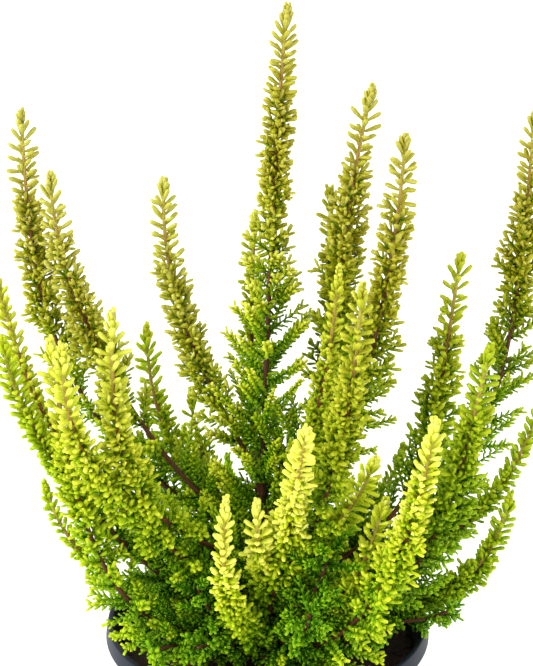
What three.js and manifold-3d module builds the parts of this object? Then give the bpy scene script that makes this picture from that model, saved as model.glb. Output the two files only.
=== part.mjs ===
// A pot-grown heather: a moulded nursery pot filled with peat, two woody stems rooted in the peat,
// and the leafy shoots that branch from them. Millimetres, +Z up, origin at the centre of the base.

import * as THREE from "three";
import { mergeVertices } from "three/addons/utils/BufferGeometryUtils.js";
import Module from "manifold-3d";

const wasm = await Module();
wasm.setup();

// ---------------------------------------------------------------- driving dimensions

const GAP = 0.3; // between neighbouring pieces
const UP = new THREE.Vector3(0, 0, 1);

const POT = {
  height: 85,
  baseRadius: 38,
  bodyRadius: 49.4, // just under the lip
  lipRadius: 52.5, // lower edge of the lip
  rimRadius: 51.6, // top of the lip
  lipHeight: 5.5,
  wall: 1.5,
  floor: 2,
  baseEdge: 0.8, // bevel round the base
  sides: 32,
  drains: { count: 6, radius: 3, circle: 28, sides: 6 },
};

const PEAT = {
  top: 75, // mean height of the surface
  swell: 0.9, // how far it rises and falls
  rings: 3, // facet rings from the middle to the wall
};

// The two rooted stems: where each stands, how deep it goes in, and how it tapers.
const STEMS = {
  main: { at: [-2, 4], foot: 62, top: 132, footRadius: 3.4, topRadius: 1.6 },
  front: { at: [0, -12], foot: 64, top: 91, footRadius: 2.6, topRadius: 1.5 },
};

const WOOD = {
  sides: 6, // of a rooted stem
  branchSides: 3,
  branchShare: 0.75, // a bare branch's half width against the leafy core that it carries
  leastStub: 7, // bare branch next to the stem
  clearance: 0.9, // stems this far apart count as free of each other
};

// A shoot's half width grows from its tip downwards.
const CORE = { tip: 0.55, taper: 0.0062 };

// Leaves stand in opposite pairs, each pair turned a quarter from the last.
const LEAF = {
  length: 4.2,
  pitch: 3.9, // along the shoot, between pairs
  angle: 50, // degrees from the shoot
  budZone: 9, // closed leaves at the tip
  budLength: 2.6,
  budAngle: 24,
};

// Below the single leaves stand short tufts, and below those side sprigs with leaflets of their own.
const TUFT = { from: 38, length: 6.4, angle: 44, pitch: 4.4 };
const SPRIG = {
  from: 78,
  angle: 46,
  shortest: 7,
  longest: 14,
  pitch: 4.9, // along the shoot, between a sprig pair and the leaf pair above it
  leaflet: 3.2,
  leafletAngle: 42,
  halfWidth: 0.75,
};

const ROOM = 0.45; // kept between the leaves of different shoots
const SEED = 20;

// Every shoot: its tip, the height at which it leaves the stem, its rise there and its lean at the
// tip in degrees, and how long it keeps each of those directions as a share of its reach.
const SHOOTS = {
  main: {
    left_tall: { tip: [-74, 12, 251], from: 108, rise: 28, lean: 0, low: 0.45, high: 0.45 },
    left_inner: { tip: [-65, 4, 234], from: 109, rise: 36, lean: -3, low: 0.35, high: 0.25 },
    left_outer: { tip: [-81, -14, 210], from: 109, rise: 15, lean: 11, low: 0.5, high: 0.4 },
    left_near: { tip: [-74, -50, 202], from: 82, rise: 16, lean: -3, low: 0.25, high: 0.2 },
    left_front_a: { tip: [-56, -62, 205], from: 80, rise: 49, lean: -8, low: 0.45, high: 0.3 },
    left_front_b: { tip: [-61, -50, 202], from: 81, rise: 7, lean: 6, low: 0.45, high: 0.45 },
    left_front_c: { tip: [-43, -52, 211], from: 100, rise: 37, lean: -5, low: 0.5, high: 0.5 },
    left_low: { tip: [-69, -14, 141], from: 82, rise: 2, lean: 8, low: 0.5, high: 0.25 },
    left_trailing: { tip: [-36, -44, 97], from: 79, rise: 6, lean: 80, low: 0.4, high: 0.35 },
    left_back: { tip: [-39, 28, 176], from: 110, rise: 25, lean: 0, low: 0.5, high: 0.4 },
    left_back_short: { tip: [-38, 18, 132], from: 94, rise: 30, lean: 6, low: 0.4, high: 0.35 },
    left_centre: { tip: [-31, 8, 231], from: 130, rise: 74, lean: -6, low: 0.15, high: 0.45 },
    centre_left: { tip: [-25, 30, 153], from: 108, rise: 35, lean: 0, low: 0.45, high: 0.4 },
    leader: { tip: [6, 4, 285], from: 129, rise: 87, lean: 6, low: 0.2, high: 0.3 },
    leader_side: { tip: [-4, 20, 216], from: 120, rise: 27, lean: -14, low: 0.35, high: 0.55 },
    right_centre: { tip: [31, 2, 261], from: 118, rise: 52, lean: 12, low: 0.4, high: 0.6 },
    right_centre_side: { tip: [19, 16, 226], from: 115, rise: 42, lean: -6, low: 0.4, high: 0.35 },
    right_centre_front: { tip: [21, -22, 214], from: 119, rise: 47, lean: 6, low: 0.35, high: 0.4 },
    right_inner: { tip: [40, -12, 250], from: 101, rise: 52, lean: 3, low: 0.3, high: 0.4 },
    right_front: { tip: [26, -58, 221], from: 99, rise: 30, lean: 7, low: 0.4, high: 0.35 },
    right_slender: { tip: [59, 4, 208], from: 94, rise: 12, lean: 7, low: 0.45, high: 0.45 },
    right_tall: { tip: [82, 22, 249], from: 81, rise: 24, lean: 3, low: 0.5, high: 0.5 },
    right_near: { tip: [62, -56, 202], from: 85, rise: 16, lean: 12, low: 0.5, high: 0.45 },
    right_outer: { tip: [87, 0, 163], from: 92, rise: 11, lean: 18, low: 0.55, high: 0.4 },
    right_low: { tip: [76, -8, 134], from: 82, rise: 2, lean: 7, low: 0.55, high: 0.4 },
    right_short: { tip: [33, -20, 151], from: 90, rise: 29, lean: 13, low: 0.2, high: 0.2 },
    right_inner_low: { tip: [59, -16, 97], from: 83, rise: 18, lean: 50, low: 0.4, high: 0.35 },
    right_spreading: { tip: [64, 27, 102], from: 84, rise: 16, lean: 30, low: 0.4, high: 0.35 },
    right_inner_back: { tip: [28, 20, 110], from: 88, rise: 40, lean: 6, low: 0.4, high: 0.35 },
    back_left: { tip: [-28, 40, 135], from: 96, rise: 30, lean: 4, low: 0.4, high: 0.35 },
    back_left_low: { tip: [-58, 44, 117], from: 86, rise: 18, lean: 10, low: 0.4, high: 0.35 },
    back_centre_left: { tip: [-14, 62, 115], from: 90, rise: 26, lean: 6, low: 0.4, high: 0.35 },
    back_centre_right: { tip: [12, 66, 106], from: 92, rise: 26, lean: 6, low: 0.4, high: 0.35 },
    back_right: { tip: [46, 44, 127], from: 94, rise: 28, lean: 8, low: 0.4, high: 0.35 },
    back_right_low: { tip: [70, 46, 101], from: 86, rise: 18, lean: 14, low: 0.4, high: 0.35 },
  },
  front: {
    front_right_tall: { tip: [47, -60, 182], from: 80, rise: 16, lean: 7, low: 0.4, high: 0.3 },
    front_centre_tall: { tip: [11, -60, 179], from: 87, rise: 66, lean: 22, low: 0.2, high: 0.2 },
    front_left_tall: { tip: [-12, -44, 150], from: 80, rise: 42, lean: -14, low: 0.65, high: 0.35 },
    front_centre: { tip: [-3, -42, 148], from: 87, rise: 88, lean: -14, low: 0.5, high: 0.4 },
    front_right: { tip: [35, -40, 147], from: 87, rise: 28, lean: 16, low: 0.5, high: 0.4 },
    front_right_short: { tip: [18, -36, 128], from: 90, rise: 34, lean: 4, low: 0.38, high: 0.35 },
    front_right_low: { tip: [13, -44, 113], from: 82, rise: 30, lean: 10, low: 0.4, high: 0.35 },
    front_left_short: { tip: [-22, -34, 117], from: 86, rise: 24, lean: 14, low: 0.4, high: 0.35 },
    front_left_trailing: { tip: [-23, -44, 98], from: 80, rise: 20, lean: 80, low: 0.4, high: 0.35 },
    front_right_trailing: { tip: [34, -34, 98], from: 79, rise: 4, lean: 60, low: 0.4, high: 0.35 },
  },
};

// ---------------------------------------------------------------- finishes

const finishes = {
  pot: { color: 0x12161b, roughness: 0.42, metalness: 0 },
  peat: { color: 0x1f140e, roughness: 0.98, metalness: 0 },
  bark: { color: 0x4b2c1e, roughness: 0.88, metalness: 0 },
  foliage: { color: 0x9fae25, roughness: 0.62, metalness: 0 },
  brightFoliage: { color: 0xc9ca35, roughness: 0.6, metalness: 0 },
};

function namedMesh(name, geometry, finish) {
  const mesh = new THREE.Mesh(geometry, new THREE.MeshStandardMaterial(finish));
  mesh.name = name;
  return mesh;
}

// ---------------------------------------------------------------- solids

// A closed geometry as a solid, with its shared vertices merged.
function solidFrom(geometry) {
  const bare = geometry.clone();
  bare.deleteAttribute("normal");
  bare.deleteAttribute("uv");
  const merged = mergeVertices(bare);
  return new wasm.Manifold(
    new wasm.Mesh({
      numProp: 3,
      vertProperties: merged.attributes.position.array,
      triVerts: new Uint32Array(merged.index.array),
    }),
  );
}

function geometryFrom(solid) {
  const { vertProperties, triVerts } = solid.getMesh();
  return new THREE.BufferGeometry()
    .setAttribute("position", new THREE.BufferAttribute(vertProperties, 3))
    .setIndex(new THREE.BufferAttribute(triVerts, 1));
}

// A profile of [radius, height] points turned about the vertical axis.
function turned(profile, sides) {
  const points = profile.map(([radius, height]) => new THREE.Vector2(radius, height));
  return new THREE.LatheGeometry(points, sides).rotateX(Math.PI / 2);
}

function uprightCylinder(radius, bottom, top, x, y, sides) {
  return new THREE.CylinderGeometry(radius, radius, top - bottom, sides)
    .rotateX(Math.PI / 2)
    .translate(x, y, (bottom + top) / 2);
}

// ---------------------------------------------------------------- pot

const lipBottom = POT.height - POT.lipHeight;

// Outer radius of the pot's tapered body at a height.
function bodyRadius(height) {
  return THREE.MathUtils.lerp(POT.baseRadius, POT.bodyRadius, height / lipBottom);
}

function makePot() {
  const inner = (height) => bodyRadius(height) - POT.wall;
  const shell = turned(
    [
      [0, 0],
      [POT.baseRadius - POT.baseEdge, 0],
      [bodyRadius(POT.baseEdge), POT.baseEdge],
      [bodyRadius(lipBottom - 1), lipBottom - 1],
      [POT.lipRadius, lipBottom],
      [POT.rimRadius, POT.height],
      [POT.rimRadius - POT.wall, POT.height],
      [inner(lipBottom - 1), lipBottom - 1],
      [inner(POT.floor), POT.floor],
      [0, POT.floor],
    ],
    POT.sides,
  );
  let pot = solidFrom(shell);
  const { count, radius, circle, sides } = POT.drains;
  for (let i = 0; i < count; i++) {
    const turn = ((i + 0.5) / count) * 2 * Math.PI;
    const x = circle * Math.cos(turn);
    const y = circle * Math.sin(turn);
    pot = pot.subtract(solidFrom(uprightCylinder(radius, -1, POT.floor + 1, x, y, sides)));
  }
  return geometryFrom(pot);
}

// ---------------------------------------------------------------- peat

// Height of the uneven peat surface above a point.
function peatHeight(x, y) {
  const waves = Math.sin(x / 9 + 1) * Math.cos(y / 11) + 0.6 * Math.sin((x - y) / 6);
  return PEAT.top + (PEAT.swell * waves) / 1.6;
}

function makePeat() {
  const slack = POT.wall + 2 * GAP; // keeps the facets of both walls apart
  const bottom = POT.floor + GAP;
  const topRadius = bodyRadius(PEAT.top - PEAT.swell) - slack;
  const profile = [
    [0, bottom],
    [bodyRadius(bottom) - slack, bottom],
  ];
  for (let ring = PEAT.rings; ring >= 0; ring--)
    profile.push([(topRadius * ring) / PEAT.rings, PEAT.top]);
  const block = turned(profile, POT.sides);
  const place = block.attributes.position;
  for (let i = 0; i < place.count; i++)
    if (place.getZ(i) > PEAT.top - 1)
      place.setZ(i, peatHeight(place.getX(i), place.getY(i)));
  let peat = solidFrom(block);
  for (const { at, foot, footRadius } of Object.values(STEMS)) {
    const hole = uprightCylinder(footRadius + GAP, foot - GAP, POT.height, ...at, WOOD.sides);
    peat = peat.subtract(solidFrom(hole));
  }
  return geometryFrom(peat);
}

// ---------------------------------------------------------------- lines of growth

const vector = (...xyz) => new THREE.Vector3(...xyz);
const radians = THREE.MathUtils.degToRad;

// A shoot's centre line lies in one upright plane: it leaves the stem with its rise and curves up to
// its tip, where it leans outwards.
function growthLine(shoot, stem) {
  const root = vector(...stem.at, shoot.from);
  const tip = vector(...shoot.tip);
  const out = vector(tip.x - root.x, tip.y - root.y, 0).normalize();
  const reach = root.distanceTo(tip);
  const heading = (across, up) =>
    out.clone().multiplyScalar(across).addScaledVector(UP, up);
  const rise = radians(shoot.rise);
  const lean = radians(shoot.lean);
  const low = root
    .clone()
    .addScaledVector(heading(Math.cos(rise), Math.sin(rise)), shoot.low * reach);
  const high = tip
    .clone()
    .addScaledVector(heading(Math.sin(lean), Math.cos(lean)), -shoot.high * reach);
  const curve = new THREE.CubicBezierCurve3(root, low, high, tip);
  return { curve, length: curve.getLength(), side: vector(-out.y, out.x, 0) };
}

// Half width of a shoot's core at a distance from its tip.
const coreAt = (fromTip) => CORE.tip + CORE.taper * fromTip;

function samplesOf(line, step) {
  const count = Math.ceil(line.length / step);
  return Array.from({ length: count + 1 }, (_, i) => ({
    along: (line.length * i) / count,
    point: line.curve.getPointAt(i / count),
    half: coreAt(line.length * (1 - i / count)),
  }));
}

// Numbers from 0 to 1 in a fixed order.
function randomFrom(seed) {
  let state = seed;
  return () => {
    state = (state * 1664525 + 1013904223) % 4294967296;
    return state / 4294967296;
  };
}

const shoots = Object.entries(SHOOTS).flatMap(([stem, family]) =>
  Object.entries(family).map(([name, shoot]) => ({
    name,
    stem,
    ...growthLine(shoot, STEMS[stem]),
  })),
);
shoots.forEach((shoot, i) => {
  shoot.random = randomFrom(SEED + i);
  shoot.twist = (shoot.random() - 0.5) * Math.PI;
  shoot.samples = samplesOf(shoot, 2);
});

// The length of bare branch that belongs to the woody stem: it ends where the shoot is clear of
// every other shoot.
function stubLength(shoot) {
  let stub = WOOD.leastStub;
  for (const { along, point, half } of shoot.samples)
    for (const other of shoots)
      if (other !== shoot)
        for (const there of other.samples) {
          const room = Math.SQRT2 * (half + there.half) + WOOD.clearance;
          if (point.distanceTo(there.point) < room) stub = Math.max(stub, along + 1);
        }
  return stub;
}
for (const shoot of shoots) shoot.stub = stubLength(shoot);

// ---------------------------------------------------------------- skins

// A closed surface grown ring by ring. A ring's corners run counterclockwise seen from where the
// surface grows to, and any face of a wall between two rings can carry a leaf or a sprig.
class Skin {
  vertices = [];
  faces = [];

  vertex(point) {
    this.vertices.push(point.x, point.y, point.z);
    return { index: this.vertices.length / 3 - 1, point };
  }

  ring(points) {
    return points.map((point) => this.vertex(point));
  }

  face(...corners) {
    for (let i = 2; i < corners.length; i++)
      this.faces.push(corners[0].index, corners[i - 1].index, corners[i].index);
  }

  // Closes a ring to a point.
  spike(ring, point) {
    const apex = this.vertex(point);
    ring.forEach((corner, i) => this.face(corner, ring[(i + 1) % ring.length], apex));
  }

  // Joins two rings, and hands each face that a growth takes to it instead of closing it flat.
  wall(lower, upper, growths = []) {
    lower.forEach((corner, i) => {
      const next = (i + 1) % lower.length;
      const foot = [corner, lower[next], upper[next], upper[i]];
      if (growths[i]) growths[i](this, foot);
      else this.face(...foot);
    });
  }

  geometry() {
    return new THREE.BufferGeometry()
      .setAttribute("position", new THREE.Float32BufferAttribute(this.vertices, 3))
      .setIndex(this.faces);
  }
}

const middle = (points) =>
  points.reduce((sum, point) => sum.add(point), vector(0, 0, 0)).divideScalar(points.length);

// The corners of a regular ring about a centre, in the plane of two directions, its first face
// looking away from the second direction. The half width is from the centre to a face.
function corners(count, centre, half, right, ahead) {
  const radius = half / Math.cos(Math.PI / count);
  return Array.from({ length: count }, (_, i) => {
    const turn = ((2 * i - 1) / count - 0.5) * Math.PI;
    return centre
      .clone()
      .addScaledVector(right, radius * Math.cos(turn))
      .addScaledVector(ahead, radius * Math.sin(turn));
  });
}

// ---------------------------------------------------------------- keeping clear

// Everything already placed, as thick lines: stems first, then each leaf and sprig as it grows.
const taken = [];

function take(owner, from, to, radius) {
  const centre = from.clone().lerp(to, 0.5);
  taken.push({ owner, from, to, radius, centre, reach: from.distanceTo(to) / 2 + radius });
}

// Shortest distance between two straight lines, each given by its ends.
function lineDistance(a, b, c, d) {
  const u = b.clone().sub(a);
  const v = d.clone().sub(c);
  const w = a.clone().sub(c);
  const uu = u.dot(u);
  const uv = u.dot(v);
  const vv = v.dot(v);
  const uw = u.dot(w);
  const vw = v.dot(w);
  const clamp = (x) => THREE.MathUtils.clamp(x, 0, 1);
  const across = uu * vv - uv * uv;
  let s = across > 1e-9 ? clamp((uv * vw - vv * uw) / across) : 0;
  const t = clamp((uv * s + vw) / vv);
  s = clamp((uv * t - uw) / uu);
  return w.addScaledVector(u, s).addScaledVector(v, -t).length();
}

// Whether a point with some room round it is above the peat and clear of the pot.
function aboveGround(point, radius) {
  const out = Math.hypot(point.x, point.y);
  const overPeat = out + radius < POT.bodyRadius - POT.wall - 1.5;
  const floor = overPeat ? PEAT.top + PEAT.swell : POT.height;
  const beyondPot = out - radius > POT.lipRadius + ROOM;
  return point.z - radius - ROOM > floor || beyondPot;
}

function isClear(owner, from, to, radius) {
  if (!aboveGround(from, 0) || !aboveGround(to, radius)) return false;
  if (!aboveGround(from.clone().lerp(to, 0.5), radius)) return false;
  const centre = from.clone().lerp(to, 0.5);
  const reach = from.distanceTo(to) / 2 + radius + ROOM;
  return taken.every(
    (other) =>
      other.owner === owner ||
      centre.distanceTo(other.centre) > reach + other.reach ||
      lineDistance(from, to, other.from, other.to) > radius + other.radius + ROOM,
  );
}

for (const shoot of shoots)
  shoot.samples.forEach(({ point, along, half }, i) => {
    const next = shoot.samples[i + 1];
    const owner = along < shoot.stub ? shoot.stem : shoot.name;
    if (next) take(owner, point, next.point, Math.SQRT2 * half);
  });
for (const [name, { at, foot, top, footRadius }] of Object.entries(STEMS))
  take(name, vector(...at, foot), vector(...at, top), footRadius);

// ---------------------------------------------------------------- leaves and sprigs

const LEAF_RADIUS = 0.7;

// A leaf: a spike whose foot is one face of the core.
function leafOn(owner, foot, direction, length) {
  const from = middle(foot);
  const to = from.clone().addScaledVector(direction, length);
  if (!isClear(owner, from, to, LEAF_RADIUS)) return null;
  take(owner, from, to, LEAF_RADIUS);
  return (skin, base) => skin.spike(base, to);
}

// A side sprig: it narrows from its foot to a square twig, which carries a leaflet on either side
// and ends in a point. It is shortened until it is clear of the other shoots.
function sprigOn(owner, foot, direction, fullLength) {
  const from = middle(foot);
  const right = foot[1].clone().sub(foot[0]);
  right.addScaledVector(direction, -right.dot(direction)).normalize();
  const ahead = vector().crossVectors(direction, right);
  const radius = SPRIG.halfWidth * Math.SQRT2;
  const spread = radians(SPRIG.leafletAngle);
  for (const share of [1, 0.8, 0.6]) {
    const length = fullLength * share;
    const at = (part) => from.clone().addScaledVector(direction, part * length);
    const leafletTip = (hand) =>
      at(0.5)
        .addScaledVector(direction, SPRIG.leaflet * Math.cos(spread))
        .addScaledVector(right, hand * (SPRIG.halfWidth + SPRIG.leaflet * Math.sin(spread)));
    const tips = [leafletTip(1), leafletTip(-1)];
    if (
      !isClear(owner, from, at(1), radius) ||
      !tips.every((tip) => isClear(owner, at(0.5), tip, LEAF_RADIUS))
    )
      continue;
    take(owner, from, at(1), radius);
    tips.forEach((tip) => take(owner, at(0.5), tip, LEAF_RADIUS));
    return (skin, base) => {
      const lower = skin.ring(corners(4, at(0.36), SPRIG.halfWidth, right, ahead));
      const upper = skin.ring(corners(4, at(0.64), SPRIG.halfWidth * 0.8, right, ahead));
      skin.wall(base, lower);
      skin.wall(lower, upper, [
        null,
        (own, leafFoot) => own.spike(leafFoot, tips[0]),
        null,
        (own, leafFoot) => own.spike(leafFoot, tips[1]),
      ]);
      skin.spike(upper, at(1));
    };
  }
  return null;
}

// ---------------------------------------------------------------- shoots

// The core's ring at a distance along a shoot, turned by the shoot's own twist.
function coreRing(shoot, along, sides = 4, widthShare = 1) {
  const share = along / shoot.length;
  const tangent = shoot.curve.getTangentAt(share);
  const right = shoot.side.clone().applyAxisAngle(tangent, shoot.twist);
  const ahead = vector().crossVectors(tangent, right);
  const centre = shoot.curve.getPointAt(share);
  const half = widthShare * coreAt(shoot.length - along);
  return corners(sides, centre, half, right, ahead);
}

// What stands on one face of a shoot's core, from the closed leaves of its tip down to its sprigs.
function growthOn(shoot, foot, along, isSprigRow) {
  const { random } = shoot;
  const fromTip = shoot.length - along;
  const tangent = shoot.curve.getTangentAt(along / shoot.length);
  const axis = shoot.curve.getPointAt(along / shoot.length);
  const outward = middle(foot).sub(axis);
  outward.addScaledVector(tangent, -outward.dot(tangent)).normalize();
  const sideways = vector().crossVectors(tangent, outward);
  const heading = (degrees) => {
    const angle = radians(degrees + 10 * (random() - 0.5));
    return tangent
      .clone()
      .multiplyScalar(Math.cos(angle))
      .addScaledVector(outward, Math.sin(angle))
      .addScaledVector(sideways, 0.3 * (random() - 0.5))
      .normalize();
  };
  if (fromTip < LEAF.budZone) {
    const open = fromTip / LEAF.budZone;
    const angle = THREE.MathUtils.lerp(LEAF.budAngle, LEAF.angle, open ** 2);
    const length = THREE.MathUtils.lerp(LEAF.budLength, LEAF.length, open);
    return leafOn(shoot.name, foot, heading(angle), length);
  }
  if (fromTip < TUFT.from || !isSprigRow)
    return leafOn(shoot.name, foot, heading(LEAF.angle), LEAF.length * (0.9 + 0.2 * random()));
  if (fromTip < SPRIG.from)
    return leafOn(shoot.name, foot, heading(TUFT.angle), TUFT.length * (0.85 + 0.3 * random()));
  const age = Math.min(1, (fromTip - SPRIG.from) / 40);
  const length = THREE.MathUtils.lerp(SPRIG.shortest, SPRIG.longest, age);
  return sprigOn(shoot.name, foot, heading(SPRIG.angle), length * (0.85 + 0.3 * random()));
}

function pitchAt(fromTip) {
  if (fromTip < LEAF.budZone) return LEAF.budLength;
  if (fromTip < TUFT.from) return LEAF.pitch;
  return fromTip < SPRIG.from ? TUFT.pitch : SPRIG.pitch;
}

function makeShoot(shoot) {
  const { random } = shoot;
  const skin = new Skin();
  let along = shoot.stub + GAP;
  let lower = skin.ring(coreRing(shoot, along));
  skin.face(...lower.toReversed());
  for (let row = 0; shoot.length - along > LEAF.budLength; row++) {
    const next = along + pitchAt(shoot.length - along);
    const upper = skin.ring(coreRing(shoot, Math.min(next, shoot.length - 1)));
    const growths = [null, null, null, null];
    for (const face of [row % 2, (row % 2) + 2]) {
      const following = (face + 1) % 4;
      const foot = [lower[face], lower[following], upper[following], upper[face]];
      const points = foot.map((corner) => corner.point);
      const isSprigRow = row % 4 < 2;
      growths[face] = growthOn(shoot, points, along, isSprigRow);
    }
    skin.wall(lower, upper, growths);
    lower = upper;
    along = next;
  }
  skin.spike(lower, shoot.curve.getPoint(1));
  return skin.geometry();
}

// ---------------------------------------------------------------- woody stems

// A rooted stem with the bare first stretch of each branch, joined in one solid.
function makeWood(name) {
  const { at, foot, top, footRadius, topRadius } = STEMS[name];
  const height = top - foot;
  const trunk = new THREE.CylinderGeometry(topRadius, footRadius, height, WOOD.sides)
    .rotateX(Math.PI / 2)
    .translate(...at, foot + height / 2);
  let wood = solidFrom(trunk);
  for (const shoot of shoots.filter((each) => each.stem === name)) {
    const skin = new Skin();
    const [inner, outer] = [topRadius / 2, shoot.stub].map((along) =>
      skin.ring(coreRing(shoot, along, WOOD.branchSides, WOOD.branchShare)),
    );
    skin.face(...inner.toReversed());
    skin.wall(inner, outer);
    skin.face(...outer);
    wood = wood.add(solidFrom(skin.geometry()));
  }
  return geometryFrom(wood);
}

// ---------------------------------------------------------------- the whole plant

const group = new THREE.Group();
group.add(namedMesh("pot", makePot(), finishes.pot));
group.add(namedMesh("peat", makePeat(), finishes.peat));
for (const shoot of shoots) {
  const finish = shoot.stem === "front" ? finishes.brightFoliage : finishes.foliage;
  group.add(namedMesh(`shoot_${shoot.name}`, makeShoot(shoot), finish));
}
for (const name of Object.keys(STEMS))
  group.add(namedMesh(`woody_stem_${name}`, makeWood(name), finishes.bark));

export default group;
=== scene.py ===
# A pot-grown heather: a moulded nursery pot filled with peat, two woody stems rooted in it, and the
# leafy shoots that branch from them. Lengths are millimetres up to the mesh, which is in metres.

import math

import bpy
import numpy as np
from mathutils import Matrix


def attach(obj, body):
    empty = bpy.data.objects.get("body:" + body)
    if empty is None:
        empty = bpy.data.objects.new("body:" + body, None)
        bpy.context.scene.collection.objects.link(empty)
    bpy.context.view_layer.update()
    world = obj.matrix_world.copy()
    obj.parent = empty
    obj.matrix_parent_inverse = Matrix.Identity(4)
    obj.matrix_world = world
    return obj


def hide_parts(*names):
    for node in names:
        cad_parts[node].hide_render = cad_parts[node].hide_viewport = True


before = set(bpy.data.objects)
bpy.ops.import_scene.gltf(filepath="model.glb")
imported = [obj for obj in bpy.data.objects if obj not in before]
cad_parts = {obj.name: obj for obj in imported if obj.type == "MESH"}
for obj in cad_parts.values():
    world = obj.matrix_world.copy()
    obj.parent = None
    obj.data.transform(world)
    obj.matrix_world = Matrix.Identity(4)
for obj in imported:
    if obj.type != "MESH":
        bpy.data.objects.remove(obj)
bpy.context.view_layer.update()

# ---------------------------------------------------------------- camera
# The view looks down on the plant from a little above its tips, from far enough off that the
# shoots keep their proportions.

CAMERA = {"place": (-0.3, -566.0, 403.6), "down": 21.24, "sensor": 36}
CAMERA |= {"focal_pixels": 1979, "picture_height": 666}
METRE = 1000

camera = bpy.data.objects.new("camera", bpy.data.cameras.new("camera"))
camera.data.sensor_width = CAMERA["sensor"]
camera.data.lens = CAMERA["focal_pixels"] * CAMERA["sensor"] / CAMERA["picture_height"]
camera.location = [part / METRE for part in CAMERA["place"]]
camera.rotation_euler = (math.radians(90 - CAMERA["down"]), 0, 0)
bpy.context.scene.collection.objects.link(camera)
bpy.context.scene.camera = camera

# ---------------------------------------------------------------- pot
# One injection moulding in blue-black recycled plastic: a tapered thin wall under a flared lip,
# with a ring of drain holes through its floor. Its skin is satin, finely grained and a little
# dusty.


class Value:
    """A shader socket that takes part in sums: each operator adds its Math node."""

    def __init__(self, finish, socket):
        self.finish = finish
        self.socket = socket

    def math(self, operation, *operands):
        return self.finish.node("ShaderNodeMath", {"operation": operation}, operands)

    def __add__(self, other):
        return self.math("ADD", self, other)

    def __sub__(self, other):
        return self.math("SUBTRACT", self, other)

    def __rsub__(self, other):
        return self.math("SUBTRACT", other, self)

    def __mul__(self, other):
        return self.math("MULTIPLY", self, other)

    __radd__ = __add__
    __rmul__ = __mul__

    def clamped(self):
        """Kept from 0 to 1."""
        return self.math("MAXIMUM", self.math("MINIMUM", self, 1), 0)


class Finish:
    """A material of linked nodes that ends in one Principled shader."""

    def __init__(self, name, **constants):
        self.material = bpy.data.materials.new(name)
        self.material.use_nodes = True
        self.tree = self.material.node_tree
        self.sockets = self.tree.nodes["Principled BSDF"].inputs
        for words, value in constants.items():
            self.sockets[words.replace("_", " ")].default_value = value

    def link(self, value, socket):
        if isinstance(value, Value):
            self.tree.links.new(value.socket, socket)
        else:
            socket.default_value = value

    def colour(self, value):
        self.link(value, self.sockets["Base Color"])

    def node(self, kind, settings=None, inputs=(), output=0):
        """Adds a node: its settings first, then a value or link for sockets by place or name."""
        made = self.tree.nodes.new(kind)
        for name, value in (settings or {}).items():
            if name == "stops":
                ramp = made.color_ramp.elements
                while len(ramp) < len(value):
                    ramp.new(1)
                for element, (share, colour) in zip(ramp, value):
                    element.position = share
                    element.color = colour
            else:
                setattr(made, name, value)
        pairs = inputs.items() if isinstance(inputs, dict) else enumerate(inputs)
        for key, value in pairs:
            self.link(value, made.inputs[key])
        return Value(self, made.outputs[output])

    def growth(self, output):
        """A point's growth: three numbers as Color, their mean as Fac, or the fourth as Alpha."""
        return self.node("ShaderNodeAttribute", {"attribute_name": "growth"}, output=output)

    def noise(self, scale, detail=4, stretch=None):
        """Noise from 0 to 1 with that many cells to the metre, drawn out along an axis or not."""
        place = self.node("ShaderNodeTexCoord", output="Object")
        if stretch:
            place = self.node("ShaderNodeMapping", inputs={"Vector": place, "Scale": stretch})
        inputs = {"Vector": place, "Scale": scale, "Detail": detail}
        return self.node("ShaderNodeTexNoise", inputs=inputs)

    def between(self, value, low, high):
        """The value's share of the way from low to high, eased and kept from 0 to 1."""
        inputs = {"Value": value, "From Min": low, "From Max": high}
        return self.node("ShaderNodeMapRange", {"interpolation_type": "SMOOTHSTEP"}, inputs)

    def mixed(self, factor, first, second):
        """Two colours mixed. A Mix node takes colours at sockets 6 and 7 and gives one at 2."""
        inputs = {0: factor, 6: first, 7: second}
        return self.node("ShaderNodeMix", {"data_type": "RGBA"}, inputs, output=2)

    def ramp(self, value, stops):
        """The value's colour between stops, which pair a share from 0 to 1 with how it looks."""
        stops = [(share, paint(*seen)) for share, seen in stops.items()]
        return self.node("ShaderNodeValToRGB", {"stops": stops}, [value.clamped()])

    def bump(self, height, millimetres):
        """Raises the skin by that much where the height is 1."""
        inputs = {"Distance": millimetres / METRE, "Height": height}
        self.link(self.node("ShaderNodeBump", inputs=inputs), self.sockets["Normal"])


def paint(red, green, blue):
    """A colour given as it looks, from 0 to 255, in the linear light that shaders use: each part c
    of 1 becomes ((c + 0.055) / 1.055)^2.4, or c / 12.92 where it is darkest."""
    seen = np.array([red, green, blue]) / 255
    linear = np.where(seen < 0.04045, seen / 12.92, ((seen + 0.055) / 1.055) ** 2.4)
    return (*linear, 1.0)


def closed_skin(rings, sides):
    """Triangles of a closed surface whose points are a pole, rings that run counterclockwise about
    the way it grows, and a last pole."""
    corner = np.arange(sides)
    following = (corner + 1) % sides
    lower = 1 + sides * np.arange(rings - 1)[:, None]
    upper = lower + sides
    near = np.stack([lower + corner, lower + following, upper + following], -1)
    far = np.stack([lower + corner, upper + following, upper + corner], -1)
    first_pole = np.stack([0 * corner, 1 + following, 1 + corner], -1)
    last = 1 + sides * (rings - 1)
    last_pole = np.stack([last + corner, last + following, 0 * corner + last + sides], -1)
    return np.concatenate([first_pole, near.reshape(-1, 3), far.reshape(-1, 3), last_pole])


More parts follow.
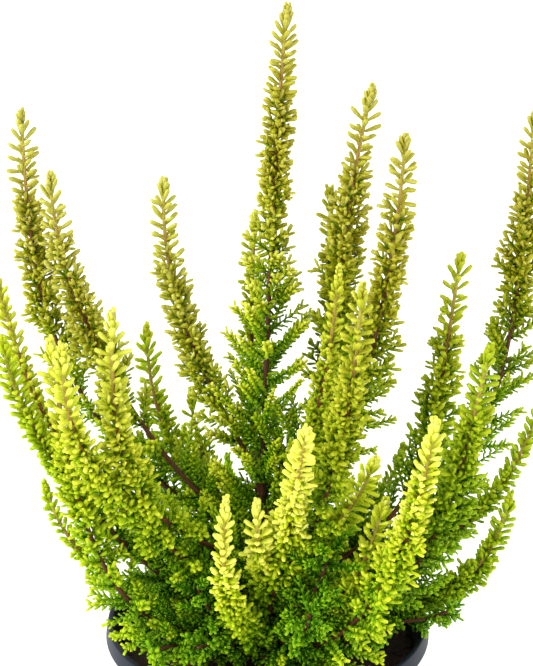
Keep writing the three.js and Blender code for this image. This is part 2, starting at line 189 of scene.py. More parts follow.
def turned(profile, sides):
    """A profile of (radius, height) rows, from axis to axis, turned about the vertical: ring i has
    points (r cos a, r sin a, z) for equal steps of the angle a."""
    angle = 2 * np.pi * np.arange(sides) / sides
    circle = np.stack([np.cos(angle), np.sin(angle), 0 * angle], -1)
    radius, height = profile[1:-1].T
    rings = radius[:, None, None] * circle + height[:, None, None] * [0, 0, 1]
    first, last = [0, 0, profile[0, 1]], [0, 0, profile[-1, 1]]
    points = np.concatenate([[first], rings.reshape(-1, 3), [last]])
    return points, closed_skin(len(rings), sides)


def add_piece(name, points, triangles, finishes, finish_of=None, growth=None):
    """A smooth mesh object at the origin, from points in millimetres. Growth is four numbers a
    point that its finish reads, and finish_of each triangle's place in the list of finishes."""
    mesh = bpy.data.meshes.new(name)
    mesh.vertices.add(len(points))
    mesh.vertices.foreach_set("co", (points / METRE).astype(np.float32).ravel())
    mesh.loops.add(3 * len(triangles))
    mesh.loops.foreach_set("vertex_index", triangles.astype(np.int32).ravel())
    mesh.polygons.add(len(triangles))
    mesh.polygons.foreach_set("loop_start", np.arange(0, 3 * len(triangles), 3, dtype=np.int32))
    for finish in finishes:
        mesh.materials.append(finish.material)
    if finish_of is not None:
        mesh.polygons.foreach_set("material_index", finish_of.astype(np.int32))
    if growth is not None:
        attribute = mesh.attributes.new("growth", "FLOAT_COLOR", "POINT")
        attribute.data.foreach_set("color", growth.astype(np.float32).ravel())
    mesh.update(calc_edges=True)
    mesh.shade_smooth()
    piece = bpy.data.objects.new(name, mesh)
    bpy.context.scene.collection.objects.link(piece)
    return piece


def rounded(corners, steps):
    """An outline with each corner (x, y, radius) turned as a quadratic curve between the points
    that lie its radius before and after it."""
    places = np.array([corner[:2] for corner in corners], float)
    outline = [places[:1]]
    t = np.linspace(0, 1, steps + 1)[:, None]
    for before, (*place, radius), after in zip(places, corners[1:-1], places[2:]):
        place = np.array(place, float)
        start, end = (
            place + (to - place) * min(radius / np.linalg.norm(to - place), 0.5)
            for to in (before, after)
        )
        outline.append((1 - t) ** 2 * start + 2 * t * (1 - t) * place + t**2 * end)
    return np.concatenate([*outline, places[-1:]])


POT = {"height": 85, "lip_height": 5.5, "wall": 1.5, "floor": 2, "sides": 192}
POT |= {"base_radius": 38, "body_radius": 49.4, "lip_radius": 52.5, "rim_radius": 51.6}
DRAINS = {"count": 6, "radius": 3, "circle": 28, "from": -1, "to": 4, "sides": 32}

lip_bottom = POT["height"] - POT["lip_height"]


def body_radius(height):
    """Outer radius of the tapered wall, straight from the base to the lip."""
    share = height / lip_bottom
    return POT["base_radius"] + (POT["body_radius"] - POT["base_radius"]) * share


def pot_profile():
    """The pot's outline as (radius, height): from the middle of its underside, up the wall and
    round the lip, and down the inside to the middle of its floor."""
    inner = body_radius(lip_bottom - 1) - POT["wall"]
    return rounded(
        [
            (0, 0, 0),
            (POT["base_radius"] - 5, 0, 0.1),
            (POT["base_radius"], 0, 1.4),
            (body_radius(12), 12, 0.3),
            (body_radius(lip_bottom - 1), lip_bottom - 1, 0.35),
            (POT["lip_radius"], lip_bottom, 0.7),
            (POT["rim_radius"] + 0.05, POT["height"], 0.7),
            (POT["rim_radius"] - POT["wall"], POT["height"], 0.6),
            (inner, lip_bottom - 1, 2),
            (body_radius(POT["floor"]) - POT["wall"], POT["floor"], 2),
            (POT["base_radius"] - 12, POT["floor"], 0.1),
            (0, POT["floor"], 0),
        ],
        steps=5,
    )


blue_sheen = {"Specular_IOR_Level": 0.25, "Specular_Tint": (0.72, 0.86, 1, 1)}
pot_finish = Finish("pot_plastic", IOR=1.49, **blue_sheen)
grain = pot_finish.noise(2600, detail=2)
dust = pot_finish.between(pot_finish.noise(45, detail=8), 0.52, 0.78)
scuffs = pot_finish.between(pot_finish.noise(300, detail=6, stretch=(1, 1, 0.15)), 0.56, 0.74)
pot_black = pot_finish.mixed(pot_finish.noise(18), paint(12, 18, 27), paint(17, 25, 37))
pot_dusty = pot_finish.mixed(dust * 0.14, pot_black, paint(104, 92, 78))
pot_finish.colour(pot_finish.mixed(scuffs * 0.25, pot_dusty, paint(46, 54, 66)))
pot_finish.link(0.44 + dust * 0.3 + scuffs * 0.1 + grain * 0.06, pot_finish.sockets["Roughness"])
pot_finish.bump(grain + scuffs * 0.4, 0.06)

pot = add_piece("nursery_pot", *turned(pot_profile(), POT["sides"]), [pot_finish])
foot, head = DRAINS["from"], DRAINS["to"]
punch_profile = [(0, foot), (DRAINS["radius"], foot), (DRAINS["radius"], head), (0, head)]
punch_points, punch_triangles = turned(np.array(punch_profile, float), DRAINS["sides"])
for drain in range(DRAINS["count"]):
    turn = (drain + 0.5) / DRAINS["count"] * 2 * math.pi
    centre = [DRAINS["circle"] * math.cos(turn), DRAINS["circle"] * math.sin(turn), 0]
    punch = add_piece("punch", punch_points + centre, punch_triangles, [])
    cut = pot.modifiers.new("drain", "BOOLEAN")
    cut.object = punch
    bpy.context.view_layer.objects.active = pot
    bpy.ops.object.modifier_apply(modifier=cut.name)
    bpy.data.objects.remove(punch)
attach(pot, "root")
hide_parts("pot")

# ---------------------------------------------------------------- peat
# Coarse, nearly black peat, pressed down to a centimetre under the rim: a lumpy crust strewn with
# crumbs, reddish bits of bark and a few straws.

PEAT = {"top": 75, "swell": 0.9, "bottom": 2.3, "slack": 1.9, "rings": 50, "sides": 120}
LUMPS = {"sizes": (4.5, 2.1, 0.9), "height": 0.22, "smooth_edge": 1.5}
CRUMBS = {"count": 550, "spread": 46, "least": 0.35, "growth": 1.1, "raised": 0.25}
random = np.random.default_rng(4)


def unit(vectors):
    """Vectors brought to a length of 1."""
    return vectors / np.linalg.norm(vectors, axis=-1, keepdims=True)


def lattice_noise(points, size, seed):
    """Smooth noise from -1 to 1: a fixed random value at each corner of a lattice with that cell
    size, eased between the eight corners round a point. A corner's value is its coordinates
    multiplied by large primes, with the bits of the sum stirred."""
    cells = np.asarray(points) / size
    corner = np.floor(cells).astype(np.int64)
    part = cells - corner
    ease = part * part * (3 - 2 * part)
    total = 0
    for offset in np.ndindex(2, 2, 2):
        key = ((corner + offset) * [73856093, 19349663, 83492791]).sum(-1) + seed * 7919
        key = (key ^ (key >> 13)) * 1274126177 & 0x7FFFFFFF
        value = (key >> 8 & 0xFFFF) / 32767.5 - 1
        total = total + value * np.prod(np.where(offset, ease, 1 - ease), -1)
    return total


def peat_height(x, y):
    """The crust's mean height and its slow swell, sin(x/9 + 1) cos(y/11) + 0.6 sin((x - y)/6)."""
    waves = np.sin(x / 9 + 1) * np.cos(y / 11) + 0.6 * np.sin((x - y) / 6)
    return PEAT["top"] + PEAT["swell"] * waves / 1.6


def peat_block():
    """A tapered plug; its top rings carry the swell, with lumps of three sizes laid over it."""
    edge = body_radius(PEAT["top"]) - PEAT["slack"]
    foot = body_radius(PEAT["bottom"]) - PEAT["slack"]
    reach = edge * np.linspace(1, 1 / PEAT["rings"], PEAT["rings"])
    wall = [(0, PEAT["bottom"]), (foot, PEAT["bottom"])]
    profile = np.array(wall + [(radius, PEAT["top"]) for radius in reach] + [(0, PEAT["top"])])
    points, triangles = turned(profile, PEAT["sides"])
    top = points[:, 2] == PEAT["top"]
    flat = points[top] * [1, 1, 0]
    lumps = sum(lattice_noise(flat, size, 3) * size * LUMPS["height"] for size in LUMPS["sizes"])
    fade = np.clip((edge - np.linalg.norm(flat, axis=1)) / LUMPS["smooth_edge"], 0, 1)
    points[top, 2] = peat_height(*flat[:, :2].T) + lumps * fade
    return points, triangles


def crumb_field():
    """Lumps scattered evenly over the crust: each a six-sided bead of three rings with its points
    pushed in and out, stretched and turned at random, and sunk by a third."""
    count = CRUMBS["count"]
    ring = np.linspace(-1, 1, 5)[1:-1]
    profile = np.stack([np.sqrt(1 - ring**2), ring], -1)
    bead, faces = turned(np.concatenate([[[0, -1]], profile, [[0, 1]]]), 6)
    radius = CRUMBS["spread"] * np.sqrt(random.random(count))
    angle = 2 * np.pi * random.random(count)
    size = CRUMBS["least"] + CRUMBS["growth"] * random.random(count) ** 3
    axes = unit(random.normal(size=(count, 3, 3)) + 2 * np.eye(3))
    axes *= random.uniform(0.55, 1.5, (count, 3, 1))
    points = np.einsum("vk,nkj->nvj", bead, axes) * random.uniform(0.8, 1.15, (count, len(bead), 1))
    centre = np.stack([radius * np.cos(angle), radius * np.sin(angle)], -1)
    height = peat_height(*centre.T) + CRUMBS["raised"] * size
    points = points * size[:, None, None]
    points[..., :2] += centre[:, None]
    points[..., 2] += height[:, None]
    faces = faces + len(bead) * np.arange(count)[:, None, None]
    kind = np.repeat(random.random(count), len(bead))
    return points.reshape(-1, 3), faces.reshape(-1, 3), kind


def joined(parts):
    """Several (points, triangles) as one."""
    starts = np.cumsum([0] + [len(points) for points, _ in parts[:-1]])
    triangles = [faces + start for (_, faces), start in zip(parts, starts)]
    return np.concatenate([points for points, _ in parts]), np.concatenate(triangles)


crust = peat_block()
crumb_points, crumb_faces, crumb_kind = crumb_field()
peat_points, peat_triangles = joined([crust, (crumb_points, crumb_faces)])
kind = np.concatenate([np.zeros(len(crust[0])), crumb_kind])

# A point's kind runs from 0 to 1: it is soil up to 0.84, then bark, and from 0.97 on straw.
peat_finish = Finish("peat_fibre", Roughness=0.95)
kinds = peat_finish.growth("Fac")
fibre = peat_finish.noise(900, detail=8)
soil = peat_finish.mixed(fibre, paint(22, 13, 9), paint(62, 38, 26))
bark_bit = peat_finish.mixed(fibre, paint(88, 36, 20), paint(142, 74, 46))
straw = peat_finish.mixed(fibre, paint(104, 78, 48), paint(150, 118, 78))
with_bark = peat_finish.mixed(peat_finish.between(kinds, 0.84, 0.88), soil, bark_bit)
is_straw = peat_finish.between(kinds, 0.97, 0.98)
peat_finish.colour(peat_finish.mixed(is_straw, with_bark, straw))
peat_finish.bump(fibre, 0.5)

peat_growth = np.stack([kind] * 4, -1)
peat = add_piece("peat_crust", peat_points, peat_triangles, [peat_finish], growth=peat_growth)
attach(peat, "root")
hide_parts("peat")

# ---------------------------------------------------------------- woody stems
# Two stems stand in the peat and fork low down. Their bark is thin, reddish brown and stringy,
# darker in its furrows, and bare as far as each branch gets clear of its neighbours.

STEMS = {
    "main": {"at": (-2, 4), "foot": 62, "top": 132, "foot_radius": 3.4, "top_radius": 1.6},
    "front": {"at": (0, -12), "foot": 64, "top": 91, "foot_radius": 2.6, "top_radius": 1.5},
}

USUAL = {
    "yellow": 0.5,  # how yellow the leaves are
    "fade": 0.4,  # the share of that which they lose down the shoot
    "full": 1,  # how closely they stand
    "leaf": 1,  # how large they are
    "hug": 0,  # how closely they lie along the stalk
    "reach": 1,  # how far the sprigs reach
    "skirt": 0,  # how much farther the lowest ones do
    "age": 0,  # how much young growth is missing from its end
    "gold": 0,  # how golden it is at least
    "down": 0,  # how far its sprigs follow the stem down below it
}
# Every shoot: its tip, the height at which it leaves the stem, its rise there and its lean at the
# tip in degrees, how long it keeps each direction as a share of its reach, and its own traits.
MAIN_SHOOTS = {
    "left_tall": ((-74, 12, 251), 108, 28, 0, 0.45, 0.45, dict(
        yellow=0.97, fade=0.35, full=1.02, leaf=1.03, reach=0.95, skirt=-0.1)),
    "left_inner": ((-65, 4, 234), 109, 36, -3, 0.35, 0.25, dict(
        yellow=0.97, fade=0.3, leaf=1.05, reach=1.1)),
    "left_outer": ((-81, -14, 210), 109, 15, 11, 0.5, 0.4, dict(
        yellow=0.78, leaf=0.85, hug=0.7, reach=0.5)),
    "left_near": ((-74, -50, 202), 82, 16, -3, 0.25, 0.2, dict(
        yellow=0.56, full=1.2, hug=0.6, reach=0.55, skirt=1.3)),
    "left_front_a": ((-56, -62, 205), 80, 49, -8, 0.45, 0.3, dict(
        yellow=0.84, fade=0.3, hug=0.3, reach=0.9, skirt=0.35)),
    "left_front_b": ((-61, -50, 202), 81, 7, 6, 0.45, 0.45, dict(
        yellow=0.82, fade=0.3, hug=0.25, reach=0.9, skirt=0.2)),
    "left_front_c": ((-43, -52, 211), 100, 37, -5, 0.5, 0.5, dict(
        yellow=0.85, leaf=1.05, hug=0.2, reach=0.9, skirt=0.2)),
    "left_low": ((-69, -14, 141), 82, 2, 8, 0.5, 0.25, dict(yellow=0.65, leaf=0.75, hug=0.5, reach=0.65)),
    "left_trailing": ((-36, -44, 97), 79, 6, 80, 0.4, 0.35, dict(yellow=0.55, reach=0.72, age=100)),
    "left_back": ((-39, 28, 176), 110, 25, 0, 0.5, 0.4, dict(yellow=0.75, reach=0.95)),
    "left_back_short": ((-38, 18, 132), 94, 30, 6, 0.4, 0.35, dict(yellow=0.35, leaf=0.7)),
    "left_centre": ((-31, 8, 231), 130, 74, -6, 0.15, 0.45, dict(
        yellow=0.92, fade=0.1, full=1.02, leaf=1.05, reach=0.95, skirt=0.15)),
    "centre_left": ((-25, 30, 153), 108, 35, 0, 0.45, 0.4, dict(yellow=0.8, leaf=0.8)),
    "leader": ((6, 4, 285), 129, 87, 6, 0.2, 0.3, dict(
        yellow=0.82, fade=0, full=1.25, reach=0.85, skirt=0.58, down=32)),
    "leader_side": ((-4, 20, 216), 120, 27, -14, 0.35, 0.55, dict(
        yellow=0.7, fade=0.2, leaf=0.9, reach=0.6)),
    "right_centre": ((31, 2, 261), 118, 52, 12, 0.4, 0.6, dict(
        yellow=0.85, fade=0.25, full=1.05, leaf=1.05, reach=1.05, skirt=0.55)),
    "right_centre_side": ((19, 16, 226), 115, 42, -6, 0.4, 0.35, dict(yellow=0.7, reach=1.15, skirt=0.6)),
    "right_centre_front": ((21, -22, 214), 119, 47, 6, 0.35, 0.4, dict(
        yellow=0.78, full=0.9, leaf=0.75, hug=0.6, reach=0.8, skirt=0.5)),
    "right_inner": ((40, -12, 250), 101, 52, 3, 0.3, 0.4, dict(
        yellow=0.84, full=1.02, leaf=1.1, skirt=-0.35)),
    "right_front": ((26, -58, 221), 99, 30, 7, 0.4, 0.35, dict(yellow=0.7, leaf=0.95, hug=0.3)),
    "right_slender": ((59, 4, 208), 94, 12, 7, 0.45, 0.45, dict(
        yellow=0.66, fade=0.5, full=0.9, leaf=1.1, reach=1.15, skirt=0.3, gold=0.5)),
    "right_tall": ((82, 22, 249), 81, 24, 3, 0.5, 0.5, dict(yellow=0.8, fade=0.5, reach=1.1, skirt=0.05)),
    "right_near": ((62, -56, 202), 85, 16, 12, 0.5, 0.45, dict(
        fade=0.65, hug=0.3, reach=1.15, skirt=-0.1, gold=0.4)),
    "right_outer": ((87, 0, 163), 92, 11, 18, 0.55, 0.4, dict(
        yellow=0.46, fade=0.75, full=1.15, leaf=0.9, hug=0.5, reach=0.6, gold=0.35)),
    "right_low": ((76, -8, 134), 82, 2, 7, 0.55, 0.4, dict(
        fade=0.6, full=1.2, leaf=0.85, hug=0.4, skirt=-0.5, gold=0.25)),
    "right_short": ((33, -20, 151), 90, 29, 13, 0.2, 0.2, dict(
        yellow=0.95, fade=0.6, full=1.2, leaf=1.1, reach=1.25)),
    "right_inner_low": ((59, -16, 97), 83, 18, 50, 0.4, 0.35, dict(yellow=0.4, reach=0.6, age=80)),
    "right_spreading": ((64, 27, 102), 84, 16, 30, 0.4, 0.35, dict(yellow=0.35, reach=0.25, age=60)),
    "right_inner_back": ((28, 20, 110), 88, 40, 6, 0.4, 0.35, dict(yellow=0.3, reach=1.2, age=60)),
    "back_left": ((-28, 40, 135), 96, 30, 4, 0.4, 0.35, dict(yellow=0.6, leaf=0.8, reach=1.5, gold=0.3)),
    "back_left_low": ((-58, 44, 117), 86, 18, 10, 0.4, 0.35, dict(yellow=0.45, leaf=0.8)),
    "back_centre_left": ((-14, 62, 115), 90, 26, 6, 0.4, 0.35, dict(yellow=0.35, leaf=0.8, reach=1.8)),
    "back_centre_right": ((12, 66, 106), 92, 26, 6, 0.4, 0.35, dict(yellow=0.35, leaf=0.8, reach=1.2)),
    "back_right": ((46, 44, 127), 94, 28, 8, 0.4, 0.35, dict(leaf=0.8, reach=1.05, gold=0.5)),
    "back_right_low": ((70, 46, 101), 86, 18, 14, 0.4, 0.35, dict(yellow=0.4, leaf=0.8, reach=0.45)),
}
FRONT_SHOOTS = {
    "front_right_tall": ((47, -60, 182), 80, 16, 7, 0.4, 0.3, dict(
        yellow=0.9, fade=0.25, full=1.12, hug=0.4, skirt=0.5)),
    "front_centre_tall": ((11, -60, 179), 87, 66, 22, 0.2, 0.2, dict(
        yellow=1.2, fade=0.6, full=1.12, hug=0.25, down=12)),
    "front_left_tall": ((-12, -44, 150), 80, 42, -14, 0.65, 0.35, dict(
        yellow=1, fade=0.7, full=1.15, leaf=0.85, hug=0.65, skirt=0.6)),
    "front_centre": ((-3, -42, 148), 87, 88, -14, 0.5, 0.4, dict(yellow=1, fade=0.8, hug=0.4)),
    "front_right": ((35, -40, 147), 87, 28, 16, 0.5, 0.4, dict(yellow=0.85)),
    "front_right_short": ((18, -36, 128), 90, 34, 4, 0.38, 0.35, dict(yellow=0.35, age=95)),
    "front_right_low": ((13, -44, 113), 82, 30, 10, 0.4, 0.35, dict(yellow=0.35, age=90)),
    "front_left_short": ((-22, -34, 117), 86, 24, 14, 0.4, 0.35, dict(yellow=0.3, reach=0.95, age=90)),
    "front_left_trailing": ((-23, -44, 98), 80, 20, 80, 0.4, 0.35, dict(yellow=0.35, reach=0.55, age=100)),
    "front_right_trailing": ((34, -34, 98), 79, 4, 60, 0.4, 0.35, dict(yellow=0.35, reach=0.55, age=80)),
}
COURSE_POINTS = 400
STALK = {"tip_radius": 0.52, "taper": 0.0024}
CORE = {"tip_radius": 0.55, "taper": 0.0062, "step": 2.0}
LEAST_STUB = 7
CLEARANCE = 0.9


def swing(angle, first, second):
    """First cos a + second sin a, which lies at the angle a from the first to the second."""
    return np.cos(angle)[..., None] * first + np.sin(angle)[..., None] * second


class Shoot:
    """A shoot's centre line, which lies in one upright plane: the cubic curve
    (1-t)^3 a + 3 (1-t)^2 t b + 3 (1-t) t^2 c + t^3 d, where b lies ahead of the root a at its rise
    and c behind the tip d at its lean. Its traits are its attributes."""

    def __init__(self, name, stem, index, row):
        tip, start, rise, lean, low, high, traits = row
        vars(self).update(USUAL | traits)
        self.name = name
        self.stem = stem
        self.random = np.random.default_rng(index)
        root = np.array([*STEMS[stem]["at"], start], float)
        tip = np.array(tip, float)
        out = unit((tip - root) * [1, 1, 0])
        up = np.array([0, 0, 1.0])
        reach = np.linalg.norm(tip - root)
        rise, lean = np.radians([rise, lean])
        ahead = root + low * reach * swing(rise, out, up)
        behind = tip - high * reach * swing(lean, up, out)
        t = np.linspace(0, 1, COURSE_POINTS)[:, None]
        line = (1 - t) ** 3 * root + 3 * (1 - t) ** 2 * t * ahead
        line += 3 * (1 - t) * t**2 * behind + t**3 * tip
        if self.down:
            below = root - np.arange(self.down, 0, -1.0)[:, None] * up
            line = np.concatenate([below, line])
        self.line = line
        steps = np.linalg.norm(np.diff(line, axis=0), axis=1)
        self.travel = np.concatenate([[0], np.cumsum(steps)])
        self.length = self.travel[-1]
        self.side = np.array([-out[1], out[0], 0])

    def at(self, from_tip):
        """Places, headings and the third direction of the frame at distances from the tip."""
        along = self.length - np.asarray(from_tip)
        place = np.stack([np.interp(along, self.travel, axis) for axis in self.line.T], -1)
        slope = unit(np.gradient(self.line, axis=0))
        heading = unit(np.stack([np.interp(along, self.travel, axis) for axis in slope.T], -1))
        return place, heading, np.cross(heading, self.side)


def stalk_radius(from_tip):
    return STALK["tip_radius"] + STALK["taper"] * from_tip


def core_radius(from_tip):
    """Half the width of the closed core of leaves round a stalk, which is four-sided."""
    return CORE["tip_radius"] + CORE["taper"] * from_tip


shoots = []
for stem, family in (("main", MAIN_SHOOTS), ("front", FRONT_SHOOTS)):
    for name, row in family.items():
        shoots.append(Shoot(name, stem, len(shoots), row))

# The bare stub of each branch ends where its core is clear of all the others, corners included.
cores = []
for shoot in shoots:
    from_tip = np.arange(0, shoot.length, CORE["step"])
    cores.append((shoot.at(from_tip)[0], core_radius(from_tip)))
for shoot, (places, radii) in zip(shoots, cores):
    shoot.stub = LEAST_STUB
    for other, (other_places, other_radii) in zip(shoots, cores):
        if other is not shoot:
            gaps = np.linalg.norm(places[:, None] - other_places[None], axis=-1)
            room = math.sqrt(2) * (radii[:, None] + other_radii) + CLEARANCE
            close = np.flatnonzero((gaps < room).any(axis=1))
            if len(close):
                shoot.stub = max(shoot.stub, shoot.length - CORE["step"] * close[0] + 1)


def tube(places, headings, across, radii, sides):
    """A closed tube: ring i is the circle of radius i about place i, square to heading i."""
    angle = 2 * np.pi * np.arange(sides) / sides
    third = np.cross(headings, across)
    rings = places + radii[None, :, None] * swing(angle[:, None], across, third)
    rings = rings.transpose(1, 0, 2).reshape(-1, 3)
    points = np.concatenate([places[:1], rings, places[-1:]])
    return points, closed_skin(len(places), sides)


def bark_tube(places, headings, across, radii, sides, depth):
    """A tube whose points are pushed out or in from its middle line by that depth of noise, which
    is drawn out upwards."""
    points, triangles = tube(places, headings, across, radii, sides)
    centres = np.concatenate([places[:1], np.repeat(places, sides, 0), places[-1:]])
    rough = lattice_noise(points * [1, 1, 0.35], 1.1, 11) + 0.5 * lattice_noise(points, 0.5, 12)
    return points + unit(points - centres + 1e-9) * (depth * rough)[:, None], triangles


TRUNK = {"rings": 90, "sides": 28, "wander": 0.4, "bark_depth": 0.28}
BRANCH = {"step": 0.8, "sides": 12, "collar": 0.25, "collar_length": 5, "bark_depth": 0.12}


def trunk(stem):
    """The rooted stem: a tube that tapers upwards and wanders a little from the upright."""
    share = np.linspace(0, 1, TRUNK["rings"])
    height = stem["foot"] + (stem["top"] - stem["foot"]) * share
    radii = stem["foot_radius"] + (stem["top_radius"] - stem["foot_radius"]) * share
    wander = TRUNK["wander"] * np.stack([np.sin(height / 7), np.cos(height / 9)], -1)
    places = np.concatenate([wander + stem["at"], height[:, None]], -1)
    headings = np.tile([0.0, 0, 1], (len(share), 1))
    across = np.tile([1.0, 0, 0], (len(share), 1))
    return bark_tube(places, headings, across, radii, TRUNK["sides"], TRUNK["bark_depth"])


def branch(shoot):
    """The bare stretch of a branch, from inside the stem to where its leaves begin, with a collar
    that dies away as e^-s along it."""
    along = np.arange(0, shoot.stub + 1, BRANCH["step"])
    from_tip = shoot.length - along
    places, headings, _ = shoot.at(from_tip)
    across = np.tile(shoot.side, (len(along), 1))
    collar = BRANCH["collar"] * np.exp(-along / BRANCH["collar_length"])
    radii = stalk_radius(from_tip) * (1 + collar)
    return bark_tube(places, headings, across, radii, BRANCH["sides"], BRANCH["bark_depth"])


bark_finish = Finish("heather_bark", Roughness=0.86)
strings = bark_finish.noise(1500, detail=6, stretch=(1, 1, 0.22))
patches = bark_finish.between(bark_finish.noise(160, detail=3), 0.4, 0.65)
bark_dark = bark_finish.mixed(strings, paint(42, 21, 13), paint(110, 62, 40))
bark_warm = bark_finish.mixed(strings, paint(66, 32, 20), paint(146, 92, 66))
bark_finish.colour(bark_finish.mixed(patches, bark_dark, bark_warm))
bark_finish.bump(strings, 0.35)

for name, stem in STEMS.items():
    parts = [trunk(stem)] + [branch(shoot) for shoot in shoots if shoot.stem == name]
    wood = add_piece(f"bark_{name}", *joined(parts), [bark_finish])
    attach(wood, "root")
    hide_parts(f"woody_stem_{name}")

# ---------------------------------------------------------------- leafy shoots
# Each shoot ends in a club of closed leaves, opens into single leaves in crossed pairs, and lower
# down carries a sprig in every leaf's corner, longer with age. The leaves are yellow where the
# light reaches them and green in the shade, and that shade is also painted into their colour: the
# less light reaches a leaf, the darker its green. The stalk runs from yellow green to dark brown.

LEAF = {"length": 5.1, "in_bud": 2.5, "half_width": 0.98, "half_thickness": 0.76}
LEAF_ANGLE = {"tip": 11, "bud": 9, "open": 43, "hug": -22, "scatter": 7}
BUD_LENGTH = (8, 11.5)
PAIR = {"first": 2.3, "bud_pitch": 0.8, "open_pitch": 1.6, "old_pitch": 3, "twist": 0.06}
SPRIG = {"from": 20, "shortest": 5.3, "growth": 0.095, "longest": 17}
SPRIG_ANGLE = {"open": 50, "hug": -14, "scatter": 8}
SPRIG_SHARE = {"most": 0.95, "on_stub": 0.92, "comes_over": 22, "late": 40}
SPRIG_LEAF = {"old": 2.5, "young": 3.7, "old_half_width": 0.54, "young_half_width": 0.68}
SPRIG_PITCH = {"old": 0.88, "young": 1.25}
TUFT_ANGLE = {"open": 56, "closed": -20, "scatter": 7}
TWIG = {"sides": 3, "radius": 0.34, "young_more": 0.2, "taper": 0.3}
LEAFY_STALK = {"step": 1.2, "sides": 8, "brown": 150}
GOLDEN_HEIGHTS = (185, 245)
# The stretches of a shoot, by their distance from its tip, over which each of these comes about.
STRETCH = {
    "bud_swells": (2, 6),
    "gold_dulls_yellow": (8, 30),
    "yellow_fades": (25, 80),
    "sprigs_fade": (25, 90),
    "gold_fades": (40, 135),
    "sprigs_turn_fine": (42, 105),
    "pairs_draw_apart": (45, 90),
    "leaves_shrink": (50, 110),
    "leaves_thin_out": (55, 95),
    "sprigs_scatter": (55, 100),
    "skirt_widens": (75, 108),
    "clubs_vanish": (90, 130),
}


def leaf_shape(section, rings):
    """A leaf as a closed grid: columns follow a section of (across, up) points, rows stand at
    shares u of its length. It widens along a quarter of a sine from 0.42 at its foot to 1 at 0.65
    of its length, and closes from 0.62 on as sqrt(1 - s^4), to a blunt round tip."""
    u = np.array(rings)[:, None]
    foot = 0.42 + 0.58 * np.sin(np.pi / 2 * np.clip(u / 0.65, 0, 1))
    width = foot * np.sqrt(1 - np.clip((u - 0.62) / 0.4, 0, 1) ** 4)
    across, up = np.array(section, float).T
    rows = np.stack([u + 0 * across, width * across, width * up], -1)
    points = np.concatenate([[[0, 0, 0]], rows.reshape(-1, 3), [[1, 0, 0]]])
    return points, closed_skin(len(rings), len(section))


GROOVED = [(1, 0.1), (0.5, 0.8), (0, 0.55), (-0.5, 0.8), (-1, 0.1), (0, -1)]
LARGE_SHAPE = leaf_shape(GROOVED, [0.1, 0.68, 0.95])
TUFT_SHAPE = leaf_shape([(1, 0.1), (0, 0.8), (-1, 0.1), (0, -1)], [0.12, 0.68, 0.95])
FINE_SHAPE = leaf_shape([(1, 0.5), (-1, 0.5), (0, -1)], [0.3, 0.93])


def copies(points, faces, tint, along):
    """Copies of a surface as one (points, triangles, growth). Growth is the copy's tint, which is
    (yellow, random, gold), and how far along the copy the point is."""
    count, size = points.shape[:2]
    triangles = faces + size * np.arange(count)[:, None, None]
    growth = np.repeat(np.insert(tint, 3, 0, axis=1)[:, None], size, 1)
    growth[..., 3] = along
    return points.reshape(-1, 3), triangles.reshape(-1, 3), growth.reshape(-1, 4)


def leaves(shape, foot, heading, upper, length, half_width, half_thickness, curl, tint):
    """Copies of a leaf shape: each point (u, w, h) goes to the foot + u length along the heading
    + w half widths across + (h half thicknesses + curl u^2 length) towards the upper side."""
    points, faces = shape
    heading = unit(heading)
    upper = unit(upper - (upper * heading).sum(-1, keepdims=True) * heading)
    across = np.cross(upper, heading)
    u, w, h = points.T[:, None, :, None]
    length, half_width, half_thickness, curl = (
        np.broadcast_to(each, len(foot))[:, None, None]
        for each in (length, half_width, half_thickness, curl)
    )
    placed = foot[:, None] + u * length * heading[:, None] + w * half_width * across[:, None]
    placed = placed + (h * half_thickness + curl * u**2 * length) * upper[:, None]
    return copies(placed, faces, tint, points[:, 0])


def smooth_step(value, low, high):
    """3 s^2 - 2 s^3 of the share s of the way from low to high."""
    share = np.clip((value - low) / (high - low), 0, 1)
    return share * share * (3 - 2 * share)


def node_distances(shoot):
    """Distances from the tip at which leaf pairs stand: close in the bud, evenly spaced below it
    and farther apart low down."""
    distances = [PAIR["first"] * shoot.leaf]
    full = shoot.full
    open_pitch = PAIR["open_pitch"] * math.sqrt(shoot.leaf) / full**1.5
    while distances[-1] < shoot.length - LEAST_STUB:
        grown = distances[-1] + shoot.age
        opened = smooth_step(grown, 2, shoot.bud)
        pitch = PAIR["bud_pitch"] + (open_pitch - PAIR["bud_pitch"]) * opened
        aged = smooth_step(grown, *STRETCH["pairs_draw_apart"])
        pitch += (PAIR["old_pitch"] / full - pitch) * aged
        distances.append(distances[-1] + pitch * shoot.random.uniform(0.88, 1.12))
    return np.array(distances)


def outward(shoot, from_tip, azimuth):
    """Directions square to the stalk, at an azimuth about it."""
    place, heading, third = shoot.at(from_tip)
    return place, heading, swing(azimuth, shoot.side, third)


def golden(shoot, grown):
    """How strongly the leaves are tinged with gold: near the tips of the tallest shoots."""
    height = max(smooth_step(shoot.line[-1, 2], *GOLDEN_HEIGHTS), shoot.gold)
    return height * (1 - smooth_step(grown, *STRETCH["gold_fades"]))


